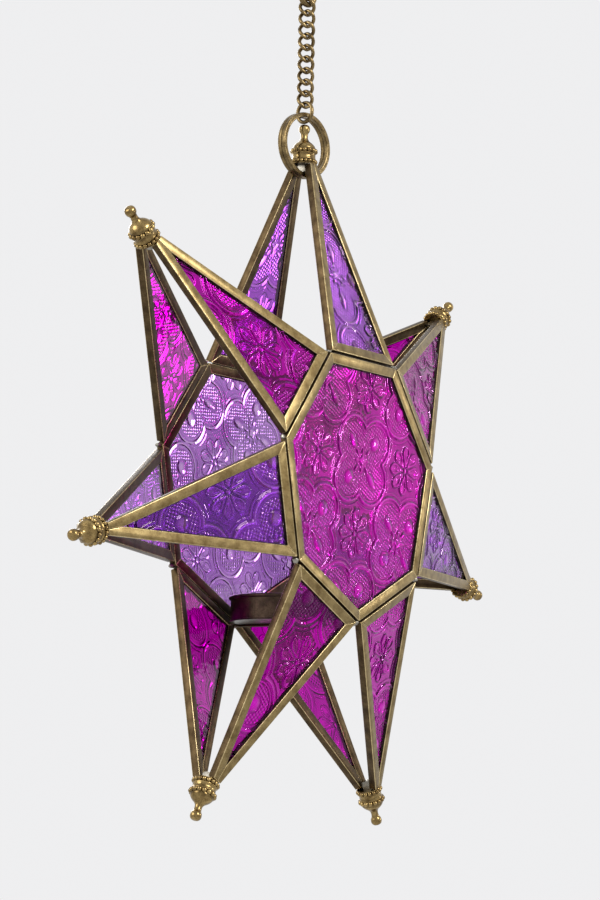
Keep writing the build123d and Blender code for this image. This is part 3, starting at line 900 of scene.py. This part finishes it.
# %% The finial's profile and its bead rows
TIP_RADIUS = 122.0  # millimetres from the star's centre to a finial's seat
FINIAL_PROFILE = [
    (0.0, 0.0), (4.55, 0.0), (4.6, 0.25), (4.25, 0.5), (4.05, 0.95), (4.25, 1.5), (4.5, 1.85),
    (4.5, 2.1), (4.32, 2.35), (4.32, 3.75), (4.5, 4.0), (4.5, 4.2), (4.2, 4.5), (4.05, 5.0),
    (4.2, 5.6), (4.3, 5.95), (4.28, 6.3), (4.0, 6.95), (3.5, 7.6), (2.9, 8.15), (2.3, 8.6),
    (2.0, 8.9), (1.65, 9.35), (1.42, 9.9), (1.35, 10.6), (1.38, 11.3), (1.5, 12.0), (1.75, 12.3),
    (2.0, 12.8), (2.1, 13.5), (2.06, 14.1), (1.8, 14.7), (1.35, 15.1), (0.85, 15.28), (0.0, 15.3),
]
BEAD_ROWS = [(0.95, 4.4, 17, 0.82), (5.05, 4.32, 15, 0.95)]  # height, ring, count, radius
BEAD_SHIFT = 0.3  # bead steps by which each finial's rows are turned against the one before
FINIAL_SIDES = 40
# Where the painted shade in a bead's root starts, how deep it gets and how far it reaches.
ROOT_START, ROOT_DEPTH, ROOT_REACH = 0.2, 0.6, 1.5  # of a dark root, as shares of a bead's radius
print("a finial is", FINIAL_PROFILE[-1][1], "mm long")

# %% Turn a finial


def lathe(form, profile, seat, axis, side):
    """Turns a profile of (radius, height) in millimetres round an axis and adds it to a form."""
    other = axis.cross(side)
    rings = []
    for radius, height in profile:
        middle = seat + axis * height * MM
        if radius < 1e-6:
            rings.append([form.verts.new(middle)])
            continue
        ring = []
        for n in range(FINIAL_SIDES):
            a = 2 * pi * n / FINIAL_SIDES
            ring.append(form.verts.new(middle + (side * cos(a) + other * sin(a)) * radius * MM))
        rings.append(ring)
    for low, high in zip(rings, rings[1:]):
        for n in range(FINIAL_SIDES):
            m = (n + 1) % FINIAL_SIDES
            quad = [low[n % len(low)], low[m % len(low)], high[m % len(high)], high[n % len(high)]]
            form.faces.new(list(dict.fromkeys(quad)))


def root_shade_at(along, out):
    """How far a place on a finial lies in the painted shade at the root of a bead row, from 0 to 1."""
    depths = [
        (ring + ROOT_START * radius - out) / (ROOT_DEPTH * radius)
        for height, ring, _, radius in BEAD_ROWS if abs(along - height) < ROOT_REACH * radius
    ]
    return min(1.0, max([0.0] + depths))


print("the body between two beads is dark by", round(root_shade_at(0.95, 4.05), 2))

# %% Set its beads and the painted shade in their roots


def build_finial(point):
    """One finial on the tip of a point."""
    axis, side = outward(point), BACK
    other = axis.cross(side)
    seat = star_centre + axis * TIP_RADIUS * MM
    form = bmesh.new()
    lathe(form, FINIAL_PROFILE, seat, axis, side)
    for height, ring, count, radius in BEAD_ROWS:
        for n in range(count):
            a = 2 * pi * (n + BEAD_SHIFT * point) / count
            place = seat + (axis * height + (side * cos(a) + other * sin(a)) * ring) * MM
            bmesh.ops.create_uvsphere(
                form, u_segments=12, v_segments=8, radius=radius * MM, matrix=Matrix.Translation(place)
            )
    form.normal_update()
    mesh = smooth_mesh(f"finial_{point}_turned", form, [bright_brass])
    # Painted shade: each point keeps how deep it lies in a bead's root, for the near black.
    painted_root_shade = []
    for vert in mesh.vertices:
        along = (vert.co - seat).dot(axis)
        painted_root_shade.append(root_shade_at(along / MM, (vert.co - seat - axis * along).length / MM))
    keep_value(mesh, "painted_root_shade", painted_root_shade)
    finial = put_in_scene(f"finial_{point}_turned", mesh)
    mesh.set_sharp_from_angle(angle=radians(60))
    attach(finial, "star")
    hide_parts(f"finial_{point}")
    return finial


finials = [build_finial(point) for point in range(1, POINTS + 1)]
print(len(finials), "finials with", sum(row[2] for row in BEAD_ROWS), "beads each")

# %% [markdown]
# ## Cup, strap, ring, chain and hook
#
# These shapes are right in the frame already. They only need smooth shading, a small round on the
# strap's edges and the right brass: almost black on the cup, rubbed on the ring and the chain.
# The seams between the frames have gone black with the rest of the hollows, and the fills under
# the finials stay bright. The portrait doesn't show the split ring's two cut ends, so the dressed
# ring is slid round its own axis until they lie low, behind the tip of the top point.

# %% Dress the cup, its strap and the split ring
STRAP_ROUND = 0.15 * MM
RING_TURN = radians(-108)
RING_AXIS = Vector((-0.173648, -0.984808, 0))  # ten degrees off the star's own front
metal_copy("candle_cup", "tealight_cup", [cup_brass])
metal_copy("cup_strap", "tealight_strap", [brown_brass_and_side_shade], bevel=STRAP_ROUND)
split_ring = metal_copy("hanging_ring", "split_ring", [chain_brass], body="ring")
low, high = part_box("hanging_ring")
to_middle = Matrix.Translation((low + high) / 2)
slide = to_middle @ Matrix.Rotation(RING_TURN, 4, RING_AXIS) @ to_middle.inverted()
split_ring.data.transform(slide)
print("the split ring is slid by", round(math.degrees(RING_TURN)), "degrees")

# %% Dress the chain, the hook and the solder
LINKS = 9
WIRE = [("jump_ring", "small_ring", "jump")]
WIRE += [(f"chain_link_{n}", f"curb_link_{n}", f"link_{n}") for n in range(1, LINKS + 1)]
WIRE += [("top_hook", "wire_hook", "hook")]
for node, name, body in WIRE:
    metal_copy(node, name, [chain_brass], body=body)
metal_copy("front_seam_solder", "front_seams", [black_patina_and_shade], sharp=30)
metal_copy("back_seam_solder", "back_seams", [black_patina_and_shade], sharp=30)
metal_copy("tip_solder", "tip_fills", [solder], sharp=30)
print(len(WIRE), "pieces of wire and three of solder are dressed")

# %% [markdown]
# ## Lumps of solder
#
# Where an iron has lingered, solder stands up in a small bright lump. Each lump is an ico-sphere
# pressed flat and made uneven by a few sine waves, so that every run of the script gives the same
# one. They fill the small notches at the corners, where three mitres meet, and stay under the
# channel faces, so the star grows no deeper.

# %% Set the lumps at the corners
NOTCH_RADIUS = 50.9  # millimetres from the star's centre to the notch at a corner
NOTCH_DEPTH = 1.4  # millimetres below the channel faces
LUMP_HALF, LUMP_VARY, LUMP_TALL = 1.3, 0.2, 0.95  # millimetres: half a width, its change, half a height
LUMP_NARROW = 0.72  # a lump's other width as a share of the first


def solder_lump(form, place, normal, wide, twist):
    """One uneven flattened lump that sits on a face."""
    ball = bmesh.ops.create_icosphere(form, subdivisions=3, radius=1.0)["verts"]
    turn = normal.to_track_quat("Z", "Y").to_matrix()
    for vert in ball:
        x, y, z = vert.co
        swell = 1 + 0.16 * sin(3 * x + twist) + 0.12 * sin(4 * y - 2 * twist)
        swell += 0.08 * sin(5 * z + 3 * twist)
        flat = Vector((x * wide * swell, y * wide * LUMP_NARROW * swell, z * LUMP_TALL * swell))
        vert.co = place + turn @ (flat * MM)


lump_form = bmesh.new()
for side, facing, node in (("front", FRONT, "front_frame"), ("back", BACK, "back_frame")):
    low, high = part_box(node)
    face_y = low.y if side == "front" else high.y
    for corner in range(POINTS):
        place = star_centre + outward(corner + 1.5) * NOTCH_RADIUS * MM
        place.y = face_y - facing.y * NOTCH_DEPTH * MM
        wide = LUMP_HALF + LUMP_VARY * sin(5 * corner)
        solder_lump(lump_form, place, facing, wide, corner + 0.7 * facing.y)
lumps = put_in_scene("corner_lumps", smooth_mesh("corner_lumps", lump_form, [solder]))
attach(lumps, "star")
print("solder lumps at", 2 * POINTS, "corners")
